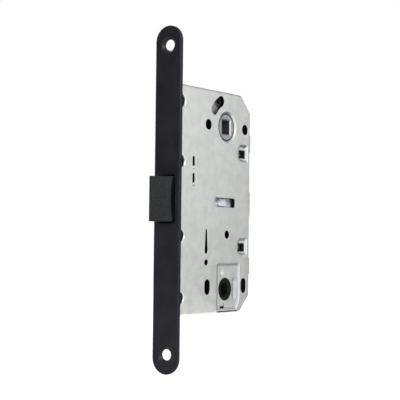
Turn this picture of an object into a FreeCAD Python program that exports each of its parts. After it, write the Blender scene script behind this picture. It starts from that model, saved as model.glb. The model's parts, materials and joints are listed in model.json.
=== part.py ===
import FreeCAD, Part
import math
import os
import re
import Sketcher

# Interior door lock with a latch, a lever follower and a privacy bolt that lifts a blocking slide.
# The faceplate's front lies at X = 0 and the case runs towards +X. +Z is up, and the origin is the
# middle of the faceplate. The case's shell is on the -Y side and its cover on the +Y side.

os.makedirs("parts", exist_ok=True)
doc = FreeCAD.newDocument("interior_door_lock")
sheet = doc.addObject("Spreadsheet::Sheet", "dims")
subparts = []


def sizes(**named):
    """Puts named driving sizes on the sheet, one row for each."""
    for name, size in named.items():
        row = len(sheet.getUsedCells()) // 2 + 1
        sheet.set("A%d" % row, name.replace("_", " "))
        sheet.set("B%d" % row, str(size))
        sheet.setAlias("B%d" % row, name)
    doc.recompute()


def bound(text):
    """The expression with every name of the sheet, which always has an underscore, made a cell."""
    return re.sub(r"[a-z]+(_[a-z0-9]+)+", r"dims.\g<0>", str(text))


def number(text):
    """The value of an expression on the sheet."""
    return float(sheet.evalExpression(bound(text)))


def point(text_x, text_y):
    """A sketch point from two expressions."""
    return FreeCAD.Vector(number(text_x), number(text_y), 0)


def circle(x, y, radius):
    """A round outline, by its centre and radius."""
    return ("circle", x, y, radius)


def box(x0, y0, x1, y1):
    """A rectangular outline, anticlockwise from its lowest corner."""
    return [(x0, y0), (x1, y0), (x1, y1), (x0, y1)]


def rounded(x0, y0, x1, y1, radius):
    """A rectangle with four quarter-round corners."""
    r = "(%s)" % radius
    return [("%s + %s" % (x0, r), y0), ("%s - %s" % (x1, r), y0), (x1, "%s + %s" % (y0, r), r, 1),
            (x1, "%s - %s" % (y1, r)), ("%s - %s" % (x1, r), y1, r, 1),
            ("%s + %s" % (x0, r), y1), (x0, "%s - %s" % (y1, r), r, 1),
            (x0, "%s + %s" % (y0, r)), ("%s + %s" % (x0, r), y0, r, 1)][1:]


def upright_slot(x, low, high, radius_low, radius_high):
    """A slot along the second axis, between two half rounds, each made of two quarters."""
    a, b = "(%s)" % radius_low, "(%s)" % radius_high
    return [("%s - %s" % (x, a), low), (x, "%s - %s" % (low, a), a, 1), ("%s + %s" % (x, a), low, a, 1),
            ("%s + %s" % (x, b), high), (x, "%s + %s" % (high, b), b, 1), ("%s - %s" % (x, b), high, b, 1)]


def polar(centre, radius, degrees):
    """A point at a radius and an angle round a centre, as two expressions."""
    return ("%s + (%s) * cos((%s) * 1 deg)" % (centre[0], radius, degrees),
            "%s + (%s) * sin((%s) * 1 deg)" % (centre[1], radius, degrees))


def turned(centre, degrees, outline):
    """Straight-sided outline points, given from a centre, turned about it by an angle."""
    spin = "((%s) * 1 deg)" % degrees
    return [("%s + (%s) * cos(%s) - (%s) * sin(%s)" % (centre[0], x, spin, y, spin),
             "%s + (%s) * sin(%s) + (%s) * cos(%s)" % (centre[1], x, spin, y, spin), *rest)
            for x, y, *rest in outline]


def tie(sketch, kind, geometry, text, vertex=None):
    """A constraint whose value follows the sheet."""
    if vertex is None:
        constraint = Sketcher.Constraint(kind, geometry, number(text))
    else:
        constraint = Sketcher.Constraint(kind, -1, 1, geometry, vertex, number(text))
    index = sketch.addConstraint(constraint)
    sketch.setExpression("Constraints[%d]" % index, bound(text))


def arc_between(start, end, radius, turn):
    """The arc of less than a half turn between two points, anticlockwise where turn is 1."""
    middle = (start + end) * 0.5
    chord = end - start
    rise = math.sqrt(max(radius * radius - (chord.Length / 2) ** 2, 0))
    centre = middle + FreeCAD.Vector(-chord.y, chord.x, 0).normalize() * rise * turn
    axis = FreeCAD.Vector(0, 0, 1)
    first, last = (start, end) if turn > 0 else (end, start)
    angles = [math.atan2(p.y - centre.y, p.x - centre.x) for p in (first, last)]
    return Part.ArcOfCircle(Part.Circle(centre, axis, radius), angles[0], angles[1])


def draw(sketch, outline):
    """One closed outline of lines and arcs, every point and radius tied to the sheet."""
    if outline[0] == "circle":
        _, x, y, radius = outline
        ring = sketch.addGeometry(Part.Circle(point(x, y), FreeCAD.Vector(0, 0, 1), number(radius)))
        tie(sketch, "DistanceX", ring, x, 3)
        tie(sketch, "DistanceY", ring, y, 3)
        tie(sketch, "Radius", ring, radius)
        return
    corners = [point(x, y) for x, y, *_ in outline]
    pieces = []
    for index, corner in enumerate(corners):
        arc = outline[index][2:]
        before = corners[index - 1]
        if arc:
            shape = arc_between(before, corner, number(arc[0]), arc[1])
            ends = (1, 2) if arc[1] > 0 else (2, 1)
        else:
            shape = Part.LineSegment(before, corner)
            ends = (1, 2)
        pieces.append((sketch.addGeometry(shape), ends))
    for index, (geometry, ends) in enumerate(pieces):
        following, next_ends = pieces[(index + 1) % len(pieces)]
        sketch.addConstraint(Sketcher.Constraint("Coincident", geometry, ends[1], following, next_ends[0]))
        tie(sketch, "DistanceX", geometry, outline[index][0], ends[1])
        tie(sketch, "DistanceY", geometry, outline[index][1], ends[1])
        if len(outline[index]) > 2:
            tie(sketch, "Radius", geometry, outline[index][2])


# Driving sizes in millimetres and degrees, piece by piece.
sizes(
    # Case and hubs
    case_front=2.0, case_rear=75.0, case_top=65.2, case_bottom=65.8, case_half=6.5, sheet_thick=0.9,
    corner_cut=10.0, corner_low=9.8, hub_x=50.0, hub_z=44.5, hub_spacing=96.0,
    hub_radius=7.95, privacy_radius=6.65, running_gap=0.1, hub_gap=0.3, rosette_pitch=38.0,
    rosette_radius=3.1,
    # Faceplate
    plate_length=196.0, plate_half=9.0, plate_thick=2.0, plate_edge=0.8, screw_half_span=87.0,
    screw_radius=3.1, screw_sink=1.7, window_half=5.85, window_rise=13.6, window_corner=1.0,
    # Faceplate lugs
    lug_end=7.6, lug_half=3.2, lug_depth=6.1, lug_one=55.6, lug_two=21.5, lug_three=-20.3,
    lug_four=-55.3, notch_half=3.4,
    # Case shell
    bend_round=1.5, corner_round=3.0, joggle_root=1.0, joggle_out=0.9, joggle_high=36.5,
    joggle_mid=-0.5, joggle_low=-38.0, joggle_half=5.5, joggle_mid_half=7.5, joggle_inset=0.7,
    joggle_bevel=1.0, notch_end=8.0, notch_rim=0.55, opening_half=13.2, press_wall=0.7,
    press_round=0.5, dish_radius=9.3, dish_deep=0.7, dish_slope=52.0, recess_deep=1.0,
    recess_slope=58.0, recess_corner=1.3, recess_x=60.9, recess_end=72.2, recess_half=5.3,
    recess_high=30.0, recess_low=-26.4, kidney_inner=13.0, kidney_outer=19.2, kidney_start=113.5,
    kidney_end=145.0, guide_x=16.7, guide_half=1.1, guide_high_low=18.7, guide_high_top=24.0,
    guide_low_low=9.1, guide_low_top=14.3, window_gap=0.1, tail_x=37.4, tail_end=58.9,
    tail_low=-3.2, tail_top=2.3, tail_corner=1.6,
    taper_x=29.8, taper_top=-17.1, taper_low=-28.95, taper_small=0.8, taper_large=1.55,
    sight_x=50.7, sight_z=-19.3, sight_radius=2.4, peep_x=29.9, peep_z=-35.6, peep_radius=1.8,
    privacy_slot_near=31.1, privacy_slot_far=68.6, privacy_slot_z=-49.8, privacy_slot_half=2.75,
    privacy_slot_rise=1.75, panel_deep=0.65, panel_slope=71.0, panel_x=40.4, panel_end=64.6,
    panel_top=-35.8, panel_low=-64.2, panel_turn=-57.8, panel_foot=61.4, panel_corner=2.4,
    groove_x=59.4, groove_low=-56.2, groove_high=-47.1, groove_half=2.4, groove_deep=0.5,
    groove_slope=77.0, dimple_x=46.2, dimple_z=-41.8, dimple_radius=2.4, dimple_deep=0.9,
    dimple_slope=58.0, slit_low=-64.95, slit_x=41.3, slit_end=62.0,
    lance_x=44.8, lance_end=49.0, lance_low=-62.7, lance_top=-61.5, lance_ramp=-59.6, lance_deep=0.45,
    # Case cover
    cover_edge=0.5, tongue_reach=3.0, tongue_thick=0.8, tongue_side=0.3, tongue_gap=0.05,
    screw_bore=1.6, rivet_radius=1.0,
    # Rear posts
    post_x=67.0, post_width=3.3, post_height=2.4, post_high=29.5, post_low=-26.8, pocket_near=2.7,
    pocket_far=1.9, pocket_half=1.5,
    # Cover screws
    screw_shank=1.5, head_radius=2.8, head_high=1.1, slot_half=0.35, slot_reach=2.0, slot_floor=0.4,
    tip_radius=0.8, tip_near=-4.0, tip_far=-3.6,
    # Latch head
    latch_half=5.35, latch_rise=12.7, latch_nose=-9.45, latch_low=-1.45, latch_back=6.0,
    latch_round=0.35, scoop_radius=97.0, scoop_deep=0.83, scoop_end=3.5, ear_front=3.9, ear_rise=14.9,
    socket_front=-1.0, socket_rise=4.1, socket_half=2.1,
    # Latch carriage
    flange_front=6.05, flange_end=8.0, flange_half=4.5, flange_rise=5.0, stem_radius=2.0,
    block_front=33.0, block_end=60.0, block_low=-3.0, block_top=2.4, block_half=2.4,
    tenon_gap=0.1, pad_front=45.6, pad_end=53.4, pad_inset=0.5, pad_high=1.4, pad_corner=0.8,
    push_front=31.9, push_end=35.5, push_top=8.4,
    # Latch buffers
    buffer_gap=0.1,
    # Latch guides
    guide_front=3.9, guide_gap=0.3, guide_top=17.9, guide_bottom=16.8, block_rear=14.6,
    guide_depth=5.5, relief_front=10.6, relief_end=12.6, relief_deep=0.5,
    # Spring abutment
    abutment_x=24.0, abutment_thick=1.2, abutment_rise=5.0, abutment_foot=31.0, stem_hole=2.3,
    # Tail guide
    channel_front=46.0, channel_end=72.0, ledge_gap=0.3, ledge_thick=1.8, channel_base=2.7,
    # Handle follower
    square_side=8.2, square_lead=0.75, rim_break=0.15, barrel_radius=7.2, far_rim=5.35,
    collar_radius=9.5, arm_near=-4.2, arm_far=-2.7, finger_half=2.4, finger_reach=10.5,
    finger_tip=1.9, finger_neck=1.1, finger_angle=247.1, peg_angle=300.0, peg_reach=11.3,
    peg_end=4.8, strap_outer=19.3, strap_start=115.0, strap_end=160.0, neck_start=157.0,
    neck_end=172.0, brow_low=11.5, brow_low_angle=153.8, brow_high=13.0, brow_high_angle=117.5,
    back_reach=14.5, back_angle=166.0, eye_reach=16.1, eye_radius=3.2, face_level=-5.75, far_end=6.3,
    # Follower eyelet
    eyelet_flange=0.3, eyelet_barrel=2.2, eyelet_hole=1.7,
    # Retractor lever
    pivot_x=34.0, pivot_z=26.0, lever_half=1.5, boss_radius=4.5, fork_angle=36.5, fork_slot=2.25,
    fork_root=11.6, fork_end=15.9, fork_half=4.4, long_angle=257.4, long_reach=20.1, long_tip=2.0,
    long_root=3.4, long_neck=1.3,
    # Retractor pin and spacer
    pin_radius=2.0, pin_near=-2.4, pin_head=2.9, head_thick=0.7, bore_gap=0.05, spacer_radius=3.5,
    spacer_gap=0.1,
    # Follower pins
    post_radius=1.5, stop_angle=316.5, anchor_angle=20.0, anchor_reach=12.3, stop_near=1.0,
    # Blocking slide
    slide_near=-4.2, slide_far=-2.7, slide_x=15.1, slide_end=33.5, slide_low=6.5, slide_top=27.0,
    slide_corner=1.5, shank_x=26.0, shank_low=-41.0, shank_top=8.5, arm_face=-3.4, arm_back=-0.9,
    arm_x=30.0, arm_end=53.0, nose_base=-41.5, arm_top=-37.5, nose_radius=1.5, nose_low=-44.05,
    spring_x=24.0, spring_y=-3.4, spring_peg=1.2, peg_high=31.0, peg_root=26.0,
    # Slide guide pins
    pin_high=18.8, pin_low=9.2, guide_pin=0.95, pin_proud=0.45, pin_tail=-2.1,
    # Slide spring seat
    seat_x=21.5, seat_end=26.5, seat_z=42.0, seat_thick=1.0, seat_near=-5.3, seat_foot=48.5,
    seat_peg=39.0,
    # Privacy hub
    privacy_square=7.0, square_turn=14.5, privacy_near=-5.7, privacy_lead=0.7, cam_low=7.2,
    cam_gap=0.05, cam_rise=5.0, cam_half=2.3, cam_curve=11.2, cam_root=3.0, cam_back=200.0,
    disc_near=-3.9, detent_near=2.5, detent_far=3.9, flat_reach=6.5, flat_low=5.0,
    # Detent spring
    leaf_top=-58.3, leaf_thick=0.5, leaf_near=2.6, leaf_far=3.8, leaf_x=36.5, leaf_end=58.5,
    tab_end=43.5, tab_low=-63.2,
    # Cover rivets
    rivet_head=1.7, rivet_inner=0.5, rivet_outer=0.4, abutment_rivet=28.4, abutment_rivet_z=3.0,
    seat_rivet=46.2, detent_rivet=38.2, detent_rivet_far=41.8, detent_rivet_z=-61.0,
    # Springs
    coil_gap=0.05, latch_wire=0.4, latch_coil=3.1, latch_coil_start=8.5, latch_turns=5.5,
    slide_wire=0.3, slide_coil=1.7, slide_turns=6.5,
    return_wire=0.45, return_coil=8.35, return_low=3.25, return_high=4.8, return_leg=6.6,
)

# The sketch planes: which way each one's normal points along its axis.
NORMALS = {"XZ_Plane": -1, "YZ_Plane": 1, "XY_Plane": 1}


def new_body(label):
    """A sub-part made of sketched features, listed for writing under its label."""
    body = doc.addObject("PartDesign::Body", "Body")
    body.Label = label
    body.Placement = FreeCAD.Placement()
    subparts.append(body)
    return body


def sketch_at(body, name, plane, level, outlines):
    """A sketch on one of the body's own planes, at a level along the axis across it."""
    sketch = body.newObject("Sketcher::SketchObject", name + "_sketch")
    origin_plane = [item for item in body.Origin.OriginFeatures if item.Role == plane][0]
    sketch.AttachmentSupport = [(origin_plane, "")]
    sketch.MapMode = "FlatFace"
    sign = "-" if NORMALS[plane] < 0 else ""
    sketch.setExpression("AttachmentOffset.Base.z", bound("%s(%s)" % (sign, level)))
    for outline in outlines:
        draw(sketch, outline)
    return sketch


def settle(feature):
    """Recomputes the document, and stops if the new feature failed."""
    doc.recompute()
    if "Invalid" in feature.State or "Error" in feature.State:
        raise RuntimeError("%s did not compute" % feature.Name)


def add(body, name, plane, low, high, *outlines):
    """A pad of the outlines between two levels along the axis across the plane."""
    start = high if NORMALS[plane] < 0 else low
    pad = body.newObject("PartDesign::Pad", name)
    pad.Profile = sketch_at(body, name, plane, start, outlines)
    pad.setExpression("Length", bound("(%s) - (%s)" % (high, low)))
    settle(pad)
    return pad


def cut(body, name, plane, low, high, *outlines):
    """A pocket of the outlines between two levels, which has to take something away."""
    before = body.Shape.Volume
    start = low if NORMALS[plane] < 0 else high
    pocket = body.newObject("PartDesign::Pocket", name)
    pocket.Profile = sketch_at(body, name, plane, start, outlines)
    pocket.setExpression("Length", bound("(%s) - (%s)" % (high, low)))
    settle(pocket)
    if not body.Shape.Volume < before - 1e-6:
        raise RuntimeError("%s cuts nothing from %s" % (name, body.Label))
    return pocket


def dress(body, kind, name, size, wanted):
    """A fillet or chamfer on the edges of the body that the test picks."""
    base = body.Tip
    edges = ["Edge%d" % (index + 1) for index, edge in enumerate(base.Shape.Edges) if wanted(edge)]
    feature = body.newObject("PartDesign::" + kind, name)
    feature.Base = (base, edges)
    feature.setExpression("Radius" if kind == "Fillet" else "Size", bound(size))
    settle(feature)
    return feature


def lies_at(edge, **levels):
    """Whether an edge lies wholly at the given levels, such as x=0."""
    frame = edge.BoundBox
    spans = {"x": (frame.XMin, frame.XMax), "y": (frame.YMin, frame.YMax), "z": (frame.ZMin, frame.ZMax)}
    return all(abs(value - level) < 0.01 for axis, level in levels.items() for value in spans[axis])


# Case and hubs: the sizes that the other pieces follow.
HUB = ("hub_x", "hub_z")
PRIVACY = ("hub_x", "(hub_z - hub_spacing)")
CASE = [("case_front", "-case_bottom"), ("case_rear - corner_low", "-case_bottom"),
        ("case_rear", "corner_low - case_bottom"), ("case_rear", "case_top - corner_cut"),
        ("case_rear - corner_cut", "case_top"), ("case_front", "case_top")]
# How far an inner corner shifts along a side where the sheet turns by 45 degrees.
SKEW = "sheet_thick * (sqrt(2) - 1)"
ROOM = [("case_front + sheet_thick", "sheet_thick - case_bottom"),
        ("case_rear - corner_low - %s" % SKEW, "sheet_thick - case_bottom"),
        ("case_rear - sheet_thick", "corner_low + %s - case_bottom" % SKEW),
        ("case_rear - sheet_thick", "case_top - corner_cut - %s" % SKEW),
        ("case_rear - corner_cut - %s" % SKEW, "case_top - sheet_thick"),
        ("case_front + sheet_thick", "case_top - sheet_thick")]
NEAR, FAR = "-case_half", "case_half"
NEAR_IN, FAR_IN = "(sheet_thick - case_half)", "(case_half - sheet_thick)"
FOOT = "(case_half - 2 * sheet_thick)"
JOGGLES = (("high", "joggle_high", "joggle_half"), ("mid", "joggle_mid", "joggle_mid_half"),
           ("low", "joggle_low", "joggle_half"))
RECESSES = (("high_recess", "recess_high"), ("low_recess", "recess_low"))
POSTS = ("post_high", "post_low")
ROSETTE_HOLES = [circle("hub_x %s rosette_pitch / 2" % side, "hub_z", "rosette_radius") for side in "-+"]
# How far a cut runs past a surface, so that nothing thin is left there.
PAST = "1"


# Faceplate: a strip with round ends, two countersunk screw holes and the latch's window.
faceplate = new_body("faceplate")
END = "(plate_length / 2 - plate_half)"
add(faceplate, "strip", "YZ_Plane", "0", "plate_thick",
    upright_slot("0", "-" + END, END, "plate_half", "plate_half"))
dress(faceplate, "Fillet", "front_edge", "plate_edge", lambda edge: lies_at(edge, x=0))
cut(faceplate, "screw_holes", "YZ_Plane", "0", "plate_thick",
    circle("0", "screw_half_span", "screw_radius"), circle("0", "-screw_half_span", "screw_radius"))
dress(faceplate, "Chamfer", "countersinks", "screw_sink",
      lambda edge: lies_at(edge, x=0) and edge.Curve.TypeId == "Part::GeomCircle"
      and abs(edge.Curve.Radius - number("screw_radius")) < 0.01)
cut(faceplate, "latch_window", "YZ_Plane", "0", "plate_thick",
    rounded("-window_half", "-window_rise", "window_half", "window_rise", "window_corner"))

# Faceplate lugs: four black tongues behind the strip, which hook into the notches of the case.
LUGS = ("lug_one", "lug_two", "lug_three", "lug_four")
faceplate_lugs = new_body("faceplate_lugs")


def tongue(height, half, end):
    """The outline of a tongue, or of its notch: straight sides and a half round at the rear."""
    centre = "%s - %s" % (end, half)
    return [("plate_thick", "%s - %s" % (height, half)), (centre, "%s - %s" % (height, half)),
            (end, height, half, 1), (centre, "%s + %s" % (height, half), half, 1),
            ("plate_thick", "%s + %s" % (height, half))]


add(faceplate_lugs, "tongues", "XZ_Plane", "-lug_depth", "lug_depth",
    *[tongue(height, "lug_half", "lug_end") for height in LUGS])

# Case shell: a pressed steel tray with its rims towards the cover, its front flange behind the
# faceplate, and the pressings, slots and holes of the near side.


def pressing(body, name, outline, larger, deep, skin_near, skin_far, slope="0"):
    """Sheet pressed inwards: its floor is added inside, and the same outline is sunk outside, its
    side leaning inwards by the slope's angle."""
    floor = "%s + %s" % (skin_far, deep)
    add(body, name + "_floor", "XZ_Plane", skin_near, floor, larger)
    sunk = cut(body, name, "XZ_Plane", skin_near, "%s + %s" % (skin_near, deep), outline)
    if slope != "0":
        upright = body.Shape.Volume
        sunk.setExpression("TaperAngle", bound("-(%s)" % slope))
        settle(sunk)
        if not body.Shape.Volume > upright:
            raise RuntimeError("%s leans outwards" % name)


def dee(grow, height):
    """The D-shaped recess: a half round towards the faceplate, and round corners at the rear."""
    half = "(recess_half + %s)" % grow
    middle = "(recess_x + recess_half)"
    rear, corner = "(recess_end + %s)" % grow, "(recess_corner + %s)" % grow
    low, high = "(%s - %s)" % (height, half), "(%s + %s)" % (height, half)
    return [(middle, low, half, 1), ("%s - %s" % (rear, corner), low),
            (rear, "%s + %s" % (low, corner), corner, 1), (rear, "%s - %s" % (high, corner)),
            ("%s - %s" % (rear, corner), high, corner, 1), (middle, high),
            ("%s - %s" % (middle, half), height, half, 1)]


def panel(grow):
    """The panel about the privacy hub: round upper corners and a slanted lower rear side."""
    corner = "(panel_corner + %s)" % grow
    left, right, top = "(panel_x - %s)" % grow, "(panel_end + %s)" % grow, "(panel_top + %s)" % grow
    return [(left, "panel_low"), ("panel_foot + %s" % grow, "panel_low"), (right, "panel_turn"),
            (right, "%s - %s" % (top, corner)), ("%s - %s" % (right, corner), top, corner, 1),
            ("%s + %s" % (left, corner), top), (left, "%s - %s" % (top, corner), corner, 1)]


shell = new_body("case_shell")
add(shell, "block", "XZ_Plane", NEAR, FAR_IN, CASE)
dress(shell, "Fillet", "bends", "bend_round", lambda edge: lies_at(edge, y=-number("case_half")))
dress(shell, "Fillet", "corner_bends", "corner_round",
      lambda edge: edge.BoundBox.YLength > number("case_half") and edge.BoundBox.XMin > number("hub_x"))
for name, height, half in JOGGLES:
    add(shell, name + "_joggle", "XZ_Plane", "joggle_inset - case_half", FAR_IN,
        [("case_rear - joggle_root", "%s - %s" % (height, half)),
         ("case_rear", "%s - %s" % (height, half)),
         ("case_rear + joggle_out", "%s - %s + joggle_out" % (height, half)),
         ("case_rear + joggle_out", "%s + %s - joggle_out" % (height, half)),
         ("case_rear", "%s + %s" % (height, half)), ("case_rear - joggle_root", "%s + %s" % (height, half))])
cut(shell, "room", "XZ_Plane", NEAR_IN, FAR_IN, ROOM)
cut(shell, "joggle_recesses", "XZ_Plane", "joggle_inset + sheet_thick - case_half", FAR_IN,
    *[box("case_rear - 2 * joggle_root", "%s - %s + joggle_bevel" % (height, half), "case_rear",
          "%s + %s - joggle_bevel" % (height, half)) for _, height, half in JOGGLES])
pressing(shell, "hub_dish", circle(*HUB, "dish_radius"), circle(*HUB, "dish_radius + press_wall"),
         "dish_deep", NEAR, NEAR_IN, "dish_slope")
for name, height in RECESSES:
    pressing(shell, name, dee("0", height), dee("press_wall", height), "recess_deep", NEAR, NEAR_IN,
             "recess_slope")
pressing(shell, "privacy_panel", panel("0"), panel("press_wall"), "panel_deep", NEAR, NEAR_IN,
         "panel_slope")
PANEL, PANEL_IN = "(panel_deep - case_half)", "(sheet_thick + panel_deep - case_half)"
GROOVE = upright_slot("groove_x", "groove_low", "groove_high", "groove_half", "groove_half")
pressing(shell, "groove", GROOVE, GROOVE, "groove_deep", PANEL, PANEL_IN, "groove_slope")
DIMPLE = circle("dimple_x", "dimple_z", "dimple_radius")
pressing(shell, "dimple", DIMPLE, DIMPLE, "dimple_deep", PANEL, PANEL_IN, "dimple_slope")


def brow(name, x, z, reach):
    """Rounds the brow of a pressing: the edges of the near face that lie within reach of a place."""
    dress(shell, "Fillet", name + "_brow", "press_round",
          lambda edge: lies_at(edge, y=-number("case_half"))
          and abs(edge.BoundBox.Center.x - x) + edge.BoundBox.XLength / 2 < reach
          and abs(edge.BoundBox.Center.z - z) + edge.BoundBox.ZLength / 2 < reach)


brow("dish", number("hub_x"), number("hub_z"), number("dish_radius + press_round"))
for name, height in RECESSES:
    brow(name, number("(recess_x + recess_end) / 2"), number(height), number("recess_half + press_round"))
THROUGH = ("XZ_Plane", "%s - %s" % (NEAR, PAST), "%s + recess_deep + press_wall" % NEAR_IN)
cut(shell, "hub_hole", *THROUGH, circle(*HUB, "hub_radius + hub_gap"))
cut(shell, "privacy_hole", *THROUGH, circle(*PRIVACY, "privacy_radius + running_gap"))
cut(shell, "rosette_holes", *THROUGH, *ROSETTE_HOLES)
MIDDLE, HALF = "(kidney_inner + kidney_outer) / 2", "(kidney_outer - kidney_inner) / 2"
cut(shell, "kidney_slot", *THROUGH,
    [(*polar(HUB, "kidney_outer", "kidney_end"), "kidney_outer", 1),
     (*polar(polar(HUB, MIDDLE, "kidney_end"), HALF, "kidney_end + 90"), HALF, 1),
     (*polar(HUB, "kidney_inner", "kidney_end"), HALF, 1),
     (*polar(HUB, "kidney_inner", "kidney_start"), "kidney_inner", -1),
     (*polar(polar(HUB, MIDDLE, "kidney_start"), HALF, "kidney_start - 90"), HALF, 1),
     (*polar(HUB, "kidney_outer", "kidney_start"), HALF, 1)])
cut(shell, "guide_slots", *THROUGH,
    upright_slot("guide_x", "guide_high_low", "guide_high_top", "guide_half", "guide_half"),
    upright_slot("guide_x", "guide_low_low", "guide_low_top", "guide_half", "guide_half"))
cut(shell, "tail_window", *THROUGH, rounded("tail_x", "tail_low", "tail_end", "tail_top", "tail_corner"))
cut(shell, "taper_slot", *THROUGH,
    upright_slot("taper_x", "taper_low", "taper_top", "taper_large", "taper_small"))
cut(shell, "sight_holes", *THROUGH, circle("sight_x", "sight_z", "sight_radius"),
    circle("peep_x", "peep_z", "peep_radius"))
PRIVACY_SLOTS = [upright_slot(x, "privacy_slot_z - privacy_slot_rise", "privacy_slot_z + privacy_slot_rise",
                              "privacy_slot_half", "privacy_slot_half")
                 for x in ("privacy_slot_near", "privacy_slot_far")]
cut(shell, "privacy_slots", *THROUGH, *PRIVACY_SLOTS)
cut(shell, "post_windows", *THROUGH,
    *[box("post_x - post_width - window_gap", "%s - post_height - window_gap" % height,
          "post_x + post_width + window_gap", "%s + post_height + window_gap" % height)
      for height in POSTS])
cut(shell, "lance", *THROUGH, box("lance_x", "lance_low", "lance_end", "lance_top"))
cut(shell, "lance_ramp", "XZ_Plane", PANEL, PANEL + " + lance_deep",
    box("lance_x", "lance_top", "lance_end", "lance_ramp"))
cut(shell, "sheared_slit", *THROUGH, box("slit_x", "slit_low", "slit_end", "panel_low"))
cut(shell, "notches", "XZ_Plane", "%s - %s" % (NEAR, PAST), FAR_IN,
    *[tongue(height, "notch_half", "notch_end") for height in LUGS])
dress(shell, "Chamfer", "notch_rims", "notch_rim",
      lambda edge: lies_at(edge, y=-number("case_half"))
      and edge.BoundBox.XMax < number("notch_end + notch_rim")
      and edge.Curve.TypeId == "Part::GeomCircle")
cut(shell, "latch_opening", "YZ_Plane", "case_front", "case_front + sheet_thick",
    box(NEAR_IN, "-opening_half", "%s + %s" % (FAR_IN, PAST), "opening_half"))

# Case cover: the flat far half, with three tongues behind the shell's rear joggles.
cover = new_body("case_cover")
add(cover, "plate", "XZ_Plane", FAR_IN, FAR, CASE)
dress(cover, "Fillet", "outer_edge", "cover_edge", lambda edge: lies_at(edge, y=number("case_half")))
add(cover, "tongues", "XZ_Plane", FAR_IN + " - tongue_reach", FAR_IN,
    *[box("case_rear - tongue_gap - tongue_thick", "%s - %s + joggle_bevel + tongue_side" % (height, half),
          "case_rear - tongue_gap", "%s + %s - joggle_bevel - tongue_side" % (height, half))
      for _, height, half in JOGGLES])
for name, height in RECESSES:
    add(cover, name + "_floor", "XZ_Plane", FAR_IN + " - recess_deep", FAR, dee("press_wall", height))
    cut(cover, name, "XZ_Plane", FAR + " - recess_deep", "%s + %s" % (FAR, PAST), dee("0", height))
BACK = ("XZ_Plane", FAR_IN + " - recess_deep - press_wall", "%s + %s" % (FAR, PAST))
cut(cover, "hub_hole", *BACK, circle(*HUB, "hub_radius + hub_gap"))
cut(cover, "privacy_hole", *BACK, circle(*PRIVACY, "privacy_radius + running_gap"))
cut(cover, "rosette_holes", *BACK, *ROSETTE_HOLES)
cut(cover, "privacy_slots", *BACK, *PRIVACY_SLOTS)
cut(cover, "notches", *BACK, *[tongue(height, "notch_half", "notch_end") for height in LUGS])
cut(cover, "screw_holes", *BACK, *[circle("post_x", height, "screw_bore") for height in POSTS])

# Rear posts: two plastic blocks between the case halves, with the cover screws through them. The
# face in the shell's window is hollowed about the screw's point.
rear_posts = new_body("rear_posts")
add(rear_posts, "posts", "XZ_Plane", NEAR + " + recess_deep - window_gap", FAR_IN + " - recess_deep",
    *[box("post_x - post_width", "%s - post_height" % height, "post_x + post_width",
          "%s + post_height" % height) for height in POSTS])
cut(rear_posts, "screw_bores", "XZ_Plane", "tip_far", "case_half",
    *[circle("post_x", height, "screw_shank") for height in POSTS])
cut(rear_posts, "tip_pockets", "XZ_Plane", NEAR, "tip_far",
    *[box("post_x - pocket_near", "%s - pocket_half" % height, "post_x + pocket_far",
          "%s + pocket_half" % height) for height in POSTS])

# Cover screws: pan heads in the recesses of the cover, and dog points that show through the posts.
cover_screws = new_body("cover_screws")
add(cover_screws, "shanks", "XZ_Plane", "tip_far", "case_half - recess_deep",
    *[circle("post_x", height, "screw_shank") for height in POSTS])
add(cover_screws, "tips", "XZ_Plane", "tip_near", "tip_far",
    *[circle("post_x", height, "tip_radius") for height in POSTS])
add(cover_screws, "heads", "XZ_Plane", "case_half - recess_deep", "case_half - recess_deep + head_high",
    *[circle("post_x", height, "head_radius") for height in POSTS])
for name, wide, tall in (("cross_level", "slot_reach", "slot_half"),
                         ("cross_upright", "slot_half", "slot_reach")):
    cut(cover_screws, name, "XZ_Plane", "case_half - recess_deep + slot_floor", "case_half + head_high",
        *[box("post_x - %s" % wide, "%s - %s" % (height, tall), "post_x + %s" % wide,
              "%s + %s" % (height, tall)) for height in POSTS])

# Latch head: a wedge whose flat bevel runs from the far side's nose to the near side, with the near
# side scooped along its middle. Two ears stop it behind the case's front flange.
latch_head = new_body("latch_head")
add(latch_head, "wedge", "XY_Plane", "-latch_rise", "latch_rise",
    [("latch_back", "-latch_half"), ("latch_back", "latch_half"), ("latch_nose", "latch_half"),
     ("latch_low", "-latch_half")])
dress(latch_head, "Fillet", "soft_edges", "latch_round",
      lambda edge: edge.BoundBox.XMin < -1 and not lies_at(edge, y=-number("latch_half")))
cut(latch_head, "scoop", "YZ_Plane", "latch_nose - %s" % PAST, "scoop_end",
    [("-latch_half - %s" % PAST, "-latch_rise"), ("-latch_half", "-latch_rise"),
     ("scoop_deep - latch_half", "0", "scoop_radius", 1), ("-latch_half", "latch_rise", "scoop_radius", 1),
     ("-latch_half - %s" % PAST, "latch_rise")])
add(latch_head, "ears", "YZ_Plane", "ear_front", "latch_back",
    box("-latch_half", "-ear_rise", "latch_half", "ear_rise"))
cut(latch_head, "socket", "YZ_Plane", "socket_front", "latch_back",
    box("-socket_half", "-socket_rise", "socket_half", "socket_rise"))

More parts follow.
